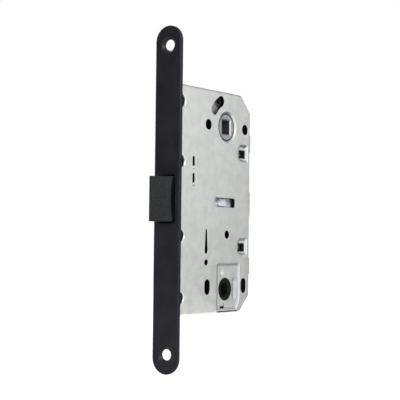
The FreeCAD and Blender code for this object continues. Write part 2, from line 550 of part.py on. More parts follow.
# Latch carriage: white plastic, from the tenon in the head, by the spring's flange and stem, to the
# tail block that shows in the window. The lug on top takes the lever's push.
carriage = new_body("latch_carriage")
add(carriage, "flange", "YZ_Plane", "flange_front", "flange_end",
    box("-flange_half", "-flange_rise", "flange_half", "flange_rise"))
add(carriage, "tenon", "YZ_Plane", "socket_front + tenon_gap", "flange_front",
    box("tenon_gap - socket_half", "tenon_gap - socket_rise", "socket_half - tenon_gap",
        "socket_rise - tenon_gap"))
add(carriage, "stem", "YZ_Plane", "flange_end", "block_front", circle("0", "0", "stem_radius"))
add(carriage, "tail_block", "YZ_Plane", "block_front", "block_end",
    box("-block_half", "block_low", "block_half", "block_top"))
add(carriage, "tail_pad", "XZ_Plane", "-block_half - pad_high", "-block_half",
    rounded("pad_front", "block_low + pad_inset", "pad_end", "block_top - pad_inset", "pad_corner"))
add(carriage, "push_lug", "XZ_Plane", "-block_half", "block_half",
    box("push_front", "block_low", "push_end", "push_top"))

# Latch buffers: two rubber strips that the ears meet.
latch_buffers = new_body("latch_buffers")
add(latch_buffers, "strips", "YZ_Plane", "case_front + sheet_thick", "ear_front - buffer_gap",
    box("-latch_half", "opening_half + buffer_gap", "latch_half", "ear_rise"),
    box("-latch_half", "-ear_rise", "latch_half", "-opening_half - buffer_gap"))

# Latch guides: white plastic blocks above and below the head, each relieved in the middle.
latch_guides = new_body("latch_guides")
add(latch_guides, "blocks", "XZ_Plane", "-guide_depth", "guide_depth",
    box("guide_front", "ear_rise + guide_gap", "block_rear", "guide_top"),
    box("guide_front", "-guide_bottom", "block_rear", "-ear_rise - guide_gap"))
cut(latch_guides, "relief", "XZ_Plane", "-guide_depth", "guide_depth",
    box("relief_front", "ear_rise + guide_gap", "relief_end", "ear_rise + guide_gap + relief_deep"),
    box("relief_front", "-ear_rise - guide_gap - relief_deep", "relief_end", "-ear_rise - guide_gap"))

# Spring abutment: a bracket on the cover with a hole for the carriage's stem.
abutment = new_body("spring_abutment")
add(abutment, "web", "YZ_Plane", "abutment_x", "abutment_x + abutment_thick",
    box("-block_half", "-abutment_rise", FAR_IN, "abutment_rise"))
add(abutment, "foot", "XZ_Plane", FOOT, FAR_IN,
    box("abutment_x", "-abutment_rise", "abutment_foot", "abutment_rise"))
cut(abutment, "stem_hole", "YZ_Plane", "abutment_x", "abutment_x + abutment_thick",
    circle("0", "0", "stem_hole"))

# Tail guide: a white plastic channel on the cover, above and below the tail block.
tail_guide = new_body("tail_guide")
add(tail_guide, "base", "XZ_Plane", "channel_base", FAR_IN,
    box("channel_front", "block_low - ledge_gap - ledge_thick", "channel_end",
        "block_top + ledge_gap + ledge_thick"))
add(tail_guide, "ledges", "XZ_Plane", "-block_half", "channel_base",
    box("channel_front", "block_low - ledge_gap - ledge_thick", "channel_end", "block_low - ledge_gap"),
    box("channel_front", "block_top + ledge_gap", "channel_end", "block_top + ledge_gap + ledge_thick"))

# Handle follower: zinc, with the lever's square, a rim at each end that runs in the case halves, the
# finger that works the fork, the peg that the return spring bears on, and the near arm whose eye
# shows in the kidney-shaped slot.
follower = new_body("handle_follower")
add(follower, "barrel", "XZ_Plane", "arm_near", "far_rim", circle(*HUB, "barrel_radius"))
add(follower, "near_rim", "XZ_Plane", "face_level", "arm_near", circle(*HUB, "hub_radius"))
add(follower, "far_rim", "XZ_Plane", "far_rim", "far_end", circle(*HUB, "hub_radius"))
add(follower, "collar", "XZ_Plane", "arm_near", "arm_far", circle(*HUB, "collar_radius"))
add(follower, "finger_neck", "XZ_Plane", "-finger_half", "finger_half",
    turned(HUB, "finger_angle", box("0", "-finger_neck", "finger_reach", "finger_neck")))
add(follower, "finger_tip", "XZ_Plane", "-finger_half", "finger_half",
    circle(*polar(HUB, "finger_reach", "finger_angle"), "finger_tip"))
add(follower, "peg_arm", "XZ_Plane", "-finger_half", "finger_half",
    turned(HUB, "peg_angle", [("0", "-post_radius"), ("peg_reach", "-post_radius"),
                              ("peg_reach + post_radius", "0", "post_radius", 1),
                              ("peg_reach", "post_radius", "post_radius", 1), ("0", "post_radius")]))
add(follower, "peg", "XZ_Plane", "finger_half", "peg_end",
    circle(*polar(HUB, "peg_reach", "peg_angle"), "post_radius"))
add(follower, "near_arm", "XZ_Plane", "arm_near", "arm_far",
    [polar(HUB, "collar_radius - 1", "neck_start"), polar(HUB, "brow_low", "brow_low_angle"),
     polar(HUB, "brow_high", "brow_high_angle"), polar(HUB, "strap_outer", "strap_start"),
     (*polar(HUB, "strap_outer", "strap_end"), "strap_outer", 1), polar(HUB, "back_reach", "back_angle"),
     polar(HUB, "collar_radius - 1", "neck_end")])
EYE = polar(HUB, "eye_reach", "strap_start")
add(follower, "eye", "XZ_Plane", "arm_near", "arm_far", circle(*EYE, "eye_radius"))
cut(follower, "eye_hole", "XZ_Plane", "arm_near", "arm_far", circle(*EYE, "eyelet_barrel"))
cut(follower, "spindle_square", "XZ_Plane", "face_level", "far_end",
    box("hub_x - square_side / 2", "hub_z - square_side / 2", "hub_x + square_side / 2",
        "hub_z + square_side / 2"))
dress(follower, "Chamfer", "lead_in", "square_lead",
      lambda edge: lies_at(edge, y=number("face_level")) and edge.Curve.TypeId == "Part::GeomLine")
dress(follower, "Chamfer", "rim_edge", "rim_break",
      lambda edge: lies_at(edge, y=number("face_level")) and edge.Curve.TypeId == "Part::GeomCircle")

# Follower eyelet: a dark steel eyelet pressed into the arm's eye.
eyelet = new_body("follower_eyelet")
add(eyelet, "barrel", "XZ_Plane", "arm_near", "arm_far", circle(*EYE, "eyelet_barrel"))
add(eyelet, "flange", "XZ_Plane", "arm_near - eyelet_flange", "arm_near", circle(*EYE, "eye_radius"))
cut(eyelet, "hole", "XZ_Plane", "arm_near - eyelet_flange", "arm_far", circle(*EYE, "eyelet_hole"))

# Retractor lever: steel, with a fork for the finger and a long arm that pushes the carriage.
PIVOT = ("pivot_x", "pivot_z")
lever = new_body("retractor_lever")
add(lever, "boss", "XZ_Plane", "-lever_half", "lever_half", circle(*PIVOT, "boss_radius"))
add(lever, "fork", "XZ_Plane", "-lever_half", "lever_half",
    turned(PIVOT, "fork_angle", box("0", "-fork_half", "fork_end", "fork_half")))
add(lever, "long_arm", "XZ_Plane", "-lever_half", "lever_half",
    turned(PIVOT, "long_angle", [("0", "-long_root"), ("long_reach", "-long_neck"),
                                 ("long_reach", "long_neck"), ("0", "long_root")]))
add(lever, "long_tip", "XZ_Plane", "-lever_half", "lever_half",
    circle(*polar(PIVOT, "long_reach", "long_angle"), "long_tip"))
cut(lever, "fork_slot", "XZ_Plane", "-lever_half", "lever_half",
    turned(PIVOT, "fork_angle", box("fork_root - fork_slot", "-fork_slot", "fork_end + %s" % PAST,
                                    "fork_slot")))
cut(lever, "pivot_bore", "XZ_Plane", "-lever_half", "lever_half", circle(*PIVOT, "pin_radius + bore_gap"))

# Retractor pin: staked in the cover, with a head that keeps the lever on, and its spacer sleeve.
retractor_pin = new_body("retractor_pin")
add(retractor_pin, "shank", "XZ_Plane", "pin_near", FAR_IN, circle(*PIVOT, "pin_radius"))
add(retractor_pin, "head", "XZ_Plane", "pin_near", "pin_near + head_thick", circle(*PIVOT, "pin_head"))
spacer = new_body("retractor_spacer")
add(spacer, "sleeve", "XZ_Plane", "lever_half + spacer_gap", FAR_IN, circle(*PIVOT, "spacer_radius"),
    circle(*PIVOT, "pin_radius + bore_gap"))

# Follower pins: the rest stop for the peg, and the pin that the return spring leans on.
follower_pins = new_body("follower_pins")
add(follower_pins, "pins", "XZ_Plane", "stop_near", FAR_IN,
    circle(*polar(HUB, "peg_reach", "stop_angle"), "post_radius"),
    circle(*polar(HUB, "anchor_reach", "anchor_angle"), "post_radius"))

# Blocking slide: black plastic plate close behind the shell. Its low nose rests on the privacy cam,
# which lifts it, and its two guide pins run in the upright slots of the shell.
slide = new_body("blocking_slide")
add(slide, "head", "XZ_Plane", "slide_near", "slide_far",
    rounded("slide_x", "slide_low", "slide_end", "slide_top", "slide_corner"))
add(slide, "shank", "XZ_Plane", "slide_near", "slide_far",
    box("shank_x", "shank_low", "slide_end", "shank_top"))
add(slide, "low_arm", "XZ_Plane", "arm_face", "arm_back", box("arm_x", "nose_base", "arm_end", "arm_top"))
add(slide, "nose", "XZ_Plane", "arm_face", "arm_back",
    [("hub_x - nose_radius", "nose_low + nose_radius"), ("hub_x", "nose_low", "nose_radius", 1),
     ("hub_x + nose_radius", "nose_low + nose_radius", "nose_radius", 1),
     ("hub_x + nose_radius", "arm_top"), ("hub_x - nose_radius", "arm_top")])
add(slide, "spring_peg", "XY_Plane", "peg_root", "peg_high",
    circle("spring_x", "spring_y", "spring_peg"))
cut(slide, "pin_bores", "XZ_Plane", "slide_near", "slide_far",
    *[circle("guide_x", height, "guide_pin") for height in ("pin_high", "pin_low")])
guide_pins = new_body("slide_guide_pins")
add(guide_pins, "pins", "XZ_Plane", "-case_half - pin_proud", "pin_tail",
    *[circle("guide_x", height, "guide_pin") for height in ("pin_high", "pin_low")])

# Slide spring seat: a steel bracket on the cover, with a peg for the spring that presses the slide down.
seat = new_body("slide_spring_seat")
add(seat, "shelf", "XY_Plane", "seat_z", "seat_z + seat_thick",
    box("seat_x", "seat_near", "seat_end", FAR_IN))
add(seat, "foot", "XZ_Plane", FOOT, FAR_IN, box("seat_x", "seat_z", "seat_end", "seat_foot"))
add(seat, "peg", "XY_Plane", "seat_peg", "seat_z", circle("spring_x", "spring_y", "spring_peg"))

# Privacy hub: black plastic, its square turned a little, with a snail cam that lifts the slide and
# two flats for the detent spring.
privacy = new_body("privacy_hub")
add(privacy, "barrel", "XZ_Plane", "privacy_near", "far_end", circle(*PRIVACY, "privacy_radius"))
add(privacy, "disc", "XZ_Plane", "disc_near", "detent_near", circle(*PRIVACY, "cam_low"))
add(privacy, "detent_disc", "XZ_Plane", "detent_near", "detent_far", circle(*PRIVACY, "cam_low"))
cut(privacy, "detent_flats", "XZ_Plane", "detent_near", "detent_far",
    box("hub_x - cam_low", "%s - cam_low" % PRIVACY[1], "hub_x + cam_low", "%s - flat_reach" % PRIVACY[1]),
    box("hub_x + flat_reach", "%s - flat_low" % PRIVACY[1], "hub_x + cam_low", "%s + cam_low" % PRIVACY[1]))
CAM_STEPS = 6
cam_points = []
for step in range(CAM_STEPS + 1):
    cam_points.append(polar(PRIVACY, "cam_low - cam_gap + cam_rise * %d / %d" % (step, CAM_STEPS),
                            "90 + 90 * %d / %d" % (step, CAM_STEPS)))
cam_points = [cam_points[0]] + [(*place, "cam_curve", 1) for place in cam_points[1:]]
add(privacy, "cam", "XZ_Plane", "-cam_half", "cam_half",
    cam_points + [polar(PRIVACY, "cam_low", "cam_back"), polar(PRIVACY, "cam_root", "cam_back"),
                  polar(PRIVACY, "cam_root", "90")])
cut(privacy, "privacy_square", "XZ_Plane", "privacy_near", "far_end",
    turned(PRIVACY, "square_turn", box("-privacy_square / 2", "-privacy_square / 2",
                                       "privacy_square / 2", "privacy_square / 2")))
dress(privacy, "Chamfer", "lead_in", "privacy_lead",
      lambda edge: lies_at(edge, y=number("privacy_near")) and edge.Curve.TypeId == "Part::GeomLine")

# Detent spring: a steel leaf under the privacy hub, with a tab riveted to the cover.
detent = new_body("detent_spring")
add(detent, "leaf", "XZ_Plane", "leaf_near", "leaf_far",
    box("leaf_x", "leaf_top - leaf_thick", "leaf_end", "leaf_top"))
add(detent, "root", "XZ_Plane", "leaf_far", FAR_IN,
    box("leaf_x", "leaf_top - leaf_thick", "tab_end", "leaf_top"))
add(detent, "tab", "XZ_Plane", FOOT, FAR_IN, box("leaf_x", "tab_low", "tab_end", "leaf_top"))

# Cover rivets: they hold the abutment, the spring seat and the detent spring to the cover.
RIVETS = (("abutment_rivet", "abutment_rivet_z"), ("abutment_rivet", "-abutment_rivet_z"),
          ("spring_x", "seat_rivet"), ("detent_rivet", "detent_rivet_z"),
          ("detent_rivet_far", "detent_rivet_z"))
rivets = new_body("cover_rivets")
add(rivets, "shanks", "XZ_Plane", FOOT, FAR, *[circle(x, z, "rivet_radius") for x, z in RIVETS])
add(rivets, "inner_heads", "XZ_Plane", FOOT + " - rivet_inner", FOOT,
    *[circle(x, z, "rivet_head") for x, z in RIVETS])
add(rivets, "outer_heads", "XZ_Plane", FAR, FAR + " + rivet_outer",
    *[circle(x, z, "rivet_head") for x, z in RIVETS])
cut(cover, "rivet_holes", *BACK, *[circle(x, z, "rivet_radius") for x, z in RIVETS])
for name, piece, places in (("abutment_holes", abutment, RIVETS[:2]), ("seat_hole", seat, RIVETS[2:3]),
                            ("tab_holes", detent, RIVETS[3:])):
    cut(piece, name, "XZ_Plane", FOOT, FAR_IN, *[circle(x, z, "rivet_radius") for x, z in places])


# Springs: round wire along a helix.


def wire_along(path, radius):
    """Round wire of a radius swept along a path, from a disc across its start."""
    first = path.OrderedEdges[0]
    start = first.valueAt(first.FirstParameter)
    disc = Part.Wire([Part.makeCircle(radius, start, first.tangentAt(first.FirstParameter))])
    return Part.Wire(path.OrderedEdges).makePipeShell([disc], True, True, 1)


def spring(label, shape):
    """A spring as a sub-part of its own."""
    piece = doc.addObject("Part::Feature", "Spring")
    piece.Label = label
    piece.Shape = shape
    subparts.append(piece)
    return piece


def coil(start, length, turns, radius, wire, direction):
    """A compression spring along an axis from its start."""
    helix = Part.makeHelix(length / turns, length, radius)
    piece = wire_along(Part.Wire(helix.Edges), wire)
    piece.Placement = FreeCAD.Placement(start, FreeCAD.Rotation(FreeCAD.Vector(0, 0, 1), direction))
    return piece


wire = number("latch_wire")
spring("latch_spring", coil(
    FreeCAD.Vector(number("latch_coil_start"), 0, 0),
    number("abutment_x - latch_coil_start - latch_wire - coil_gap"),
    number("latch_turns"), number("latch_coil"), wire, FreeCAD.Vector(1, 0, 0)))
wire = number("slide_wire")
spring("slide_spring", coil(
    FreeCAD.Vector(number("spring_x"), number("spring_y"), number("slide_top + slide_wire + coil_gap")),
    number("seat_z - slide_top - 2 * slide_wire - 2 * coil_gap"),
    number("slide_turns"), number("slide_coil"), wire, FreeCAD.Vector(0, 0, 1)))

# The return spring winds once and a bit about the follower, and its two straight legs leave it
# along the turn: one leans on the peg and the other on the anchor pin.
radius, wire, leg = number("return_coil"), number("return_wire"), number("return_leg")
reach = number("return_coil + return_wire + post_radius + coil_gap")
leg_peg = number("peg_angle") + math.degrees(math.acos(reach / number("peg_reach")))
leg_anchor = number("anchor_angle") - math.degrees(math.acos(reach / number("anchor_reach")))
rise = number("return_high - return_low")
sweep = leg_anchor - (leg_peg - 360) + 360
helix = Part.makeHelix(rise * 360 / sweep, rise, radius)
pieces = helix.Edges
first_edge, last_edge = pieces[0], pieces[-1]
start = first_edge.valueAt(first_edge.FirstParameter)
start_way = first_edge.tangentAt(first_edge.FirstParameter)
end = last_edge.valueAt(last_edge.LastParameter)
end_way = last_edge.tangentAt(last_edge.LastParameter)
path = Part.Wire([Part.LineSegment(start - start_way * leg, start).toShape(), *pieces,
                  Part.LineSegment(end, end + end_way * leg).toShape()])
return_spring = wire_along(path, wire)
lay_down = FreeCAD.Rotation(FreeCAD.Vector(1, 0, 0), -90)
swing = FreeCAD.Rotation(FreeCAD.Vector(0, 1, 0), -leg_anchor)
return_spring.Placement = FreeCAD.Placement(
    FreeCAD.Vector(number("hub_x"), number("return_low"), number("hub_z")), swing * lay_down)
spring("follower_spring", return_spring)

doc.recompute()
for item in doc.Objects:
    if "Invalid" in item.State or "Error" in item.State:
        raise RuntimeError("%s (%s) did not compute" % (item.Label, item.Name))
for piece in subparts:
    if piece.Shape.isNull() or not piece.Shape.isValid():
        raise RuntimeError("%s has no valid shape" % piece.Label)
for piece in subparts:
    piece.Shape.exportStep("parts/%s.step" % piece.Label)
    frame = piece.Shape.BoundBox
    print("%-18s solids %d  volume %8.1f  x %6.2f %6.2f  y %6.2f %6.2f  z %7.2f %7.2f" % (
        piece.Label, len(piece.Shape.Solids), piece.Shape.Volume, frame.XMin, frame.XMax, frame.YMin,
        frame.YMax, frame.ZMin, frame.ZMax))
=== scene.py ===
import json
import math

import bpy
import numpy as np
from mathutils import Euler, Matrix, Vector


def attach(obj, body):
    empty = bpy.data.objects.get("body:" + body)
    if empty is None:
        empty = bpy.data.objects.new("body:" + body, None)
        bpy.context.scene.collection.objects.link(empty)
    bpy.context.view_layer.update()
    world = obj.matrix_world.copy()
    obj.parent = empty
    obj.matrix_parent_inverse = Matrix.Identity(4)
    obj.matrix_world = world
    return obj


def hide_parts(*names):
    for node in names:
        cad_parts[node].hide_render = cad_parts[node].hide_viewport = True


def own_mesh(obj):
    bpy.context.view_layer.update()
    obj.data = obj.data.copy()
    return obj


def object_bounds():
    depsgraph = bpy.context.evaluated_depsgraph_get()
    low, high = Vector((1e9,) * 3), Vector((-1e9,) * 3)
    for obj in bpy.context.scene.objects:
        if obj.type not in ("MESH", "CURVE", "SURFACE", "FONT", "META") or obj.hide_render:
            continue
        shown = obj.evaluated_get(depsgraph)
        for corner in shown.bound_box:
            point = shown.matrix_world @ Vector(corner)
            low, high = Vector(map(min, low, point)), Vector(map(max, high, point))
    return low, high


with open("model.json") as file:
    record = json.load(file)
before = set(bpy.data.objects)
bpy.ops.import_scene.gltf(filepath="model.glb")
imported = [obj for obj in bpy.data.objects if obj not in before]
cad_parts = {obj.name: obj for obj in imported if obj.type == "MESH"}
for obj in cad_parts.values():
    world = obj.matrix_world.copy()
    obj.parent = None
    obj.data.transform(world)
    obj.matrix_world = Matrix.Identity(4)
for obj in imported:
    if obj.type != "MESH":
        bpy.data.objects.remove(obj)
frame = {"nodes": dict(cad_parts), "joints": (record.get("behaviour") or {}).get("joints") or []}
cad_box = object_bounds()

# Galvanised case: two halves pressed from zinc-coated steel sheet, a tray towards the camera and a
# flat cover behind it. The brackets inside are cut from the same sheet. The zinc is dull and pale,
# with crystals a few millimetres across. Hole walls and inner faces get a dark painted shade, which also
# stands for their bare pierced steel; the slopes and the notch rims get a darker painted shade too.
MM = 0.001
TONE_SPAN = (0.35, 0.65)
ROUGH_SPAN = (0.25, 0.75)
GRAIN_STRENGTH = 0.6
EDGE_RADIUS = 0.3
ZINC_SPECK = "#8b9092"
SPECK_WIDTH = 0.8
SPECK_SPAN = (0.5, 0.8)
SPECK_SHARE = 0.22
# Painted shade tones: inside the case and its holes, on the slopes of the pressings, on the notch rims.
BARE_EDGE_AND_SHADE = "#3c3e41"
CASE_INSIDE = (("X", 38.0, 36.2), ("Y", 0.0, 6.3), ("Z", -0.3, 64.6))
CORNER_REACH = 129.6
SKIN_LEVEL = 1.5
SLOPE_SHADE = "#b4b7b9"
FLAT = 0.995
SLOPING = 0.955
STEEP = 0.3
NOTCH_RIM_SHADE = "#6f7276"
NOTCH_END = 8.6


def linear(hex_colour):
    """An sRGB hex colour as linear red, green, blue and alpha."""
    parts = [int(hex_colour[i:i + 2], 16) / 255 for i in (1, 3, 5)]
    return [c / 12.92 if c <= 0.04045 else ((c + 0.055) / 1.055) ** 2.4 for c in parts] + [1.0]


def add_node(holder, kind, settings=None, feeds=None, **links):
    """One node with its settings. A link's value is an output or a constant, under the name of its
    socket or i and its number, and the node's own first output goes to the socket that it feeds.
    A Mix node's two colours are its inputs 6 and 7, and the mixed one is its output 2."""
    tree = holder.node_tree
    node = tree.nodes.new(kind)
    for name, value in (settings or {}).items():
        setattr(node, name, value)
    for name, value in links.items():
        socket = node.inputs[int(name[1:])] if name[1:].isdigit() else node.inputs[name.replace("_", " ")]
        if isinstance(value, bpy.types.NodeSocket):
            tree.links.new(value, socket)
        else:
            socket.default_value = value
    if feeds is not None:
        tree.links.new(next(output for output in node.outputs if output.enabled), feeds)
    return node


def finish(name, tones, clouds_mm, rough, grain_mm, grain_high_mm, stretch=(1.0, 1.0, 1.0), **shader):
    """A real surface as a material: its tone and roughness wander between two values with soft
    clouds, over a grain of a given width and height. Both are sized in millimetres. It gives the
    material, its shader, the place on the piece and the tone, for a surface that has more to it."""
    material = bpy.data.materials.new(name)
    material.use_nodes = True
    surface = material.node_tree.nodes["Principled BSDF"]
    for key, value in shader.items():
        surface.inputs[key.replace("_", " ")].default_value = value
    place = add_node(material, "ShaderNodeTexCoord").outputs["Object"]
    clouds = add_node(material, "ShaderNodeTexNoise", Vector=place, Scale=1 / (clouds_mm * MM), Detail=3.0)
    ramp = add_node(material, "ShaderNodeValToRGB", feeds=surface.inputs["Base Color"],
                    Fac=clouds.outputs["Fac"])
    for element, position, tone in zip(ramp.color_ramp.elements, TONE_SPAN, tones):
        element.position = position
        element.color = linear(tone)
    add_node(material, "ShaderNodeMapRange", feeds=surface.inputs["Roughness"], Value=clouds.outputs["Fac"],
             From_Min=ROUGH_SPAN[0], From_Max=ROUGH_SPAN[1], To_Min=rough[0], To_Max=rough[1])
    spread = add_node(material, "ShaderNodeMapping", Vector=place, Scale=stretch)
    grain = add_node(material, "ShaderNodeTexNoise", Vector=spread.outputs["Vector"],
                     Scale=1 / (grain_mm * MM), Detail=2.0)
    edges = add_node(material, "ShaderNodeBevel", {"samples": 6}, Radius=EDGE_RADIUS * MM)
    add_node(material, "ShaderNodeBump", feeds=surface.inputs["Normal"], Height=grain.outputs["Fac"],
             Distance=grain_high_mm * MM, Strength=GRAIN_STRENGTH, Normal=edges.outputs["Normal"])
    return material, surface, place, ramp.outputs["Color"]


def dress(material, *nodes):
    """The material on each CAD node."""
    for name in nodes:
        data = frame["nodes"][name].data
        data.materials.clear()
        data.materials.append(material)


sheet, sheet_shader, sheet_place, zinc = finish(
    "galvanised_steel_sheet", tones=("#d2d4cf", "#dcded9"), clouds_mm=5.0, rough=(0.36, 0.46),
    grain_mm=0.9, grain_high_mm=0.012, stretch=(1.0, 1.0, 0.12), Metallic=0.85)
# Small dark specks, really 0.1 mm, are drawn 0.8 mm across so that they show.
specks = add_node(sheet, "ShaderNodeTexNoise", Vector=sheet_place, Scale=1 / (SPECK_WIDTH * MM), Detail=2.0)
speck_share = add_node(sheet, "ShaderNodeMapRange", Value=specks.outputs["Fac"], From_Min=SPECK_SPAN[0],
                       From_Max=SPECK_SPAN[1], To_Min=0.0, To_Max=SPECK_SHARE)
speckled = add_node(sheet, "ShaderNodeMix", {"data_type": "RGBA"}, i0=speck_share.outputs["Result"], i6=zinc,
                    i7=linear(ZINC_SPECK))
# The inside lies between the outer skins of the six sides, and within the slanted corners, where X
# and the height add up to less than at the outside.
case_spot = add_node(sheet, "ShaderNodeSeparateXYZ", Vector=sheet_place)
height = add_node(sheet, "ShaderNodeMath", {"operation": "ABSOLUTE"}, i0=case_spot.outputs["Z"])
corner_sum = add_node(sheet, "ShaderNodeMath", {"operation": "ADD"}, i0=case_spot.outputs["X"],
                      i1=height.outputs[0])
inside = add_node(sheet, "ShaderNodeMath", {"operation": "LESS_THAN"}, i0=corner_sum.outputs[0],
                  i1=CORNER_REACH * MM).outputs[0]
for axis, middle, half in CASE_INSIDE:
    between = add_node(sheet, "ShaderNodeMath", {"operation": "COMPARE"}, i0=case_spot.outputs[axis],
                       i1=middle * MM, i2=half * MM)
    inside = add_node(sheet, "ShaderNodeMath", {"operation": "MULTIPLY"}, i0=between.outputs[0],
                      i1=inside).outputs[0]
# Hole walls and inner faces are painted dark: painted shade inside the case and its holes, which also
# stands for the bare pierced edges. The normal times the place along Y is the level of a
# skin that faces out, and less than that on a wall or on a face that looks inwards.
case_geometry = add_node(sheet, "ShaderNodeNewGeometry")
flat_way = add_node(sheet, "ShaderNodeSeparateXYZ", Vector=case_geometry.outputs["True Normal"])
outward = add_node(sheet, "ShaderNodeMath", {"operation": "MULTIPLY"}, i0=flat_way.outputs["Y"],
                   i1=case_spot.outputs["Y"])
inward = add_node(sheet, "ShaderNodeMath", {"operation": "LESS_THAN"}, i0=outward.outputs[0],
                  i1=SKIN_LEVEL * MM)
inside_shade_share = add_node(sheet, "ShaderNodeMath", {"operation": "MULTIPLY"}, i0=inward.outputs[0], i1=inside)
# Slopes of the pressings are painted darker and bluer: a painted shade on them. The slope shows
# in the normal's share along Y. The outer bends are left out and stay pale.
smooth_way = add_node(sheet, "ShaderNodeSeparateXYZ", Vector=case_geometry.outputs["Normal"])
flatness = add_node(sheet, "ShaderNodeMath", {"operation": "ABSOLUTE"}, i0=smooth_way.outputs["Y"])
sloping = add_node(sheet, "ShaderNodeMapRange", Value=flatness.outputs[0], From_Min=FLAT, From_Max=SLOPING)
leaning = add_node(sheet, "ShaderNodeMath", {"operation": "GREATER_THAN"}, i0=flatness.outputs[0], i1=STEEP)
slope_share = add_node(sheet, "ShaderNodeMath", {"operation": "MULTIPLY"}, i0=sloping.outputs[0],
                       i1=leaning.outputs[0])
slope_shade_share = add_node(sheet, "ShaderNodeMath", {"operation": "MULTIPLY"}, i0=slope_share.outputs[0],
                         i1=inside)
slope_shaded = add_node(sheet, "ShaderNodeMix", {"data_type": "RGBA"}, i0=slope_shade_share.outputs[0],
                     i6=speckled.outputs[2], i7=linear(SLOPE_SHADE))
# The bevelled rims of the front notches are painted darker: a painted shade that dims their glints.
at_front = add_node(sheet, "ShaderNodeMath", {"operation": "LESS_THAN"}, i0=case_spot.outputs["X"],
                    i1=NOTCH_END * MM)
notch_rim_shade_share = add_node(sheet, "ShaderNodeMath", {"operation": "MULTIPLY"}, i0=at_front.outputs[0],
                     i1=slope_shade_share.outputs[0])
notch_rims_shaded = add_node(sheet, "ShaderNodeMix", {"data_type": "RGBA"}, i0=notch_rim_shade_share.outputs[0],
                  i6=slope_shaded.outputs[2], i7=linear(NOTCH_RIM_SHADE))
add_node(sheet, "ShaderNodeMix", {"data_type": "RGBA"}, feeds=sheet_shader.inputs["Base Color"],
         i0=inside_shade_share.outputs[0], i6=notch_rims_shaded.outputs[2], i7=linear(BARE_EDGE_AND_SHADE))
dress(sheet, "case_shell", "case_cover", "spring_abutment", "slide_spring_seat")


# Faceplate: steel strip with round ends, blanked and then sprayed. The coat is a satin blue-black,
# with the faint orange peel of powder, 0.8 mm across.
coat, *_ = finish("satin_black_powder_coat", tones=("#1a1a1f", "#1f1f25"), clouds_mm=12.0,
                  rough=(0.42, 0.5), grain_mm=0.8, grain_high_mm=0.006, Specular_IOR_Level=0.15)
dress(coat, "faceplate")


# Black mouldings: the lugs behind the faceplate, the posts between the case halves, the blocking
# slide and the privacy hub are nylon, matt from the mould, and a little greyer in soft patches.
nylon, *_ = finish("moulded_black_nylon", tones=("#060607", "#0d0d0f"), clouds_mm=2.5,
                   rough=(0.42, 0.6), grain_mm=0.3, grain_high_mm=0.01, Specular_IOR_Level=0.15)
dress(nylon, "faceplate_lugs", "rear_posts", "blocking_slide", "privacy_hub")


# Latch head: glass-filled nylon, moulded with a leathery grain that catches the light as a grey
# bloom on the bevel. The grain, really 0.1 mm, is drawn 0.5 mm across so that it shows. The sides
# that face along -Y, in the faceplate's window, are painted blacker: painted shade.
SIDE_SHARE = 0.85
SHADED_SIDE_NYLON = "#08080a"
filled_nylon, head_shader, _, head_grey = finish(
    "glass_filled_black_nylon", tones=("#17181a", "#232426"), clouds_mm=1.2, rough=(0.5, 0.65),
    grain_mm=0.5, grain_high_mm=0.03, Specular_IOR_Level=0.12)
# Faces turned along -Y are painted blacker: painted shade.
head_geometry = add_node(filled_nylon, "ShaderNodeNewGeometry")
head_way = add_node(filled_nylon, "ShaderNodeSeparateXYZ", Vector=head_geometry.outputs["True Normal"])
side_shade_share = add_node(filled_nylon, "ShaderNodeMath", {"operation": "LESS_THAN"}, i0=head_way.outputs["Y"],
                        i1=-SIDE_SHARE)
add_node(filled_nylon, "ShaderNodeMix", {"data_type": "RGBA"}, feeds=head_shader.inputs["Base Color"],
         i0=side_shade_share.outputs[0], i6=head_grey, i7=linear(SHADED_SIDE_NYLON))
dress(filled_nylon, "latch_head")


# White running parts: the latch carriage, its tail guide and the latch guides are acetal, smooth
# and slightly waxy, with a cool tint in the shade of the case.
acetal, *_ = finish("natural_acetal", tones=("#cbccd5", "#dbdce4"), clouds_mm=6.0, rough=(0.3, 0.42),
                    grain_mm=0.6, grain_high_mm=0.006, Subsurface_Weight=0.15, Subsurface_Scale=2 * MM)
dress(acetal, "latch_carriage", "tail_guide", "latch_guides")


# Latch buffers: two strips cut from soft black rubber sheet and stuck behind the case's front
# flange, where the latch's ears meet them and make less noise. Cut rubber is dull and a little grey.
rubber, *_ = finish("black_nitrile_rubber", tones=("#171717", "#242424"), clouds_mm=2.0,
                    rough=(0.75, 0.85), grain_mm=0.5, grain_high_mm=0.02)
dress(rubber, "latch_buffers")


# Handle follower: die-cast zinc alloy, tumbled. Its two rims keep the casting's tone. The arms inside
# the case are painted a darker grey, and the square and a ring at the rims' edge are painted dark:
# painted shade.
FOLLOWER_MIDDLE = Vector((50.0, 0.0, 44.5)) * MM
SQUARE_HALF = 4.15
RIM_LEVEL = 5.55
EDGE_MIDDLE = 7.7
EDGE_HALF = 0.3
CASTING_SHADE = "#8c8e8f"
HUB_SHADE = "#464b53"
casting, casting_shader, casting_place, casting_tone = finish(
    "tumbled_zinc_casting", tones=("#989a9c", "#aaacab"), clouds_mm=3.0, rough=(0.42, 0.56),
    grain_mm=0.6, grain_high_mm=0.02, Metallic=0.75)
centred = add_node(casting, "ShaderNodeMapping", Vector=casting_place, Location=-FOLLOWER_MIDDLE)
hub_spot = add_node(casting, "ShaderNodeSeparateXYZ", Vector=centred.outputs["Vector"])
# Inside the case the casting is painted a darker grey: painted shade.
shadowed = add_node(casting, "ShaderNodeMath", {"operation": "COMPARE"}, i0=hub_spot.outputs["Y"], i1=0.0,
                    i2=RIM_LEVEL * MM)
inside_shaded = add_node(casting, "ShaderNodeMix", {"data_type": "RGBA"}, i0=shadowed.outputs[0], i6=casting_tone,
                i7=linear(CASTING_SHADE))
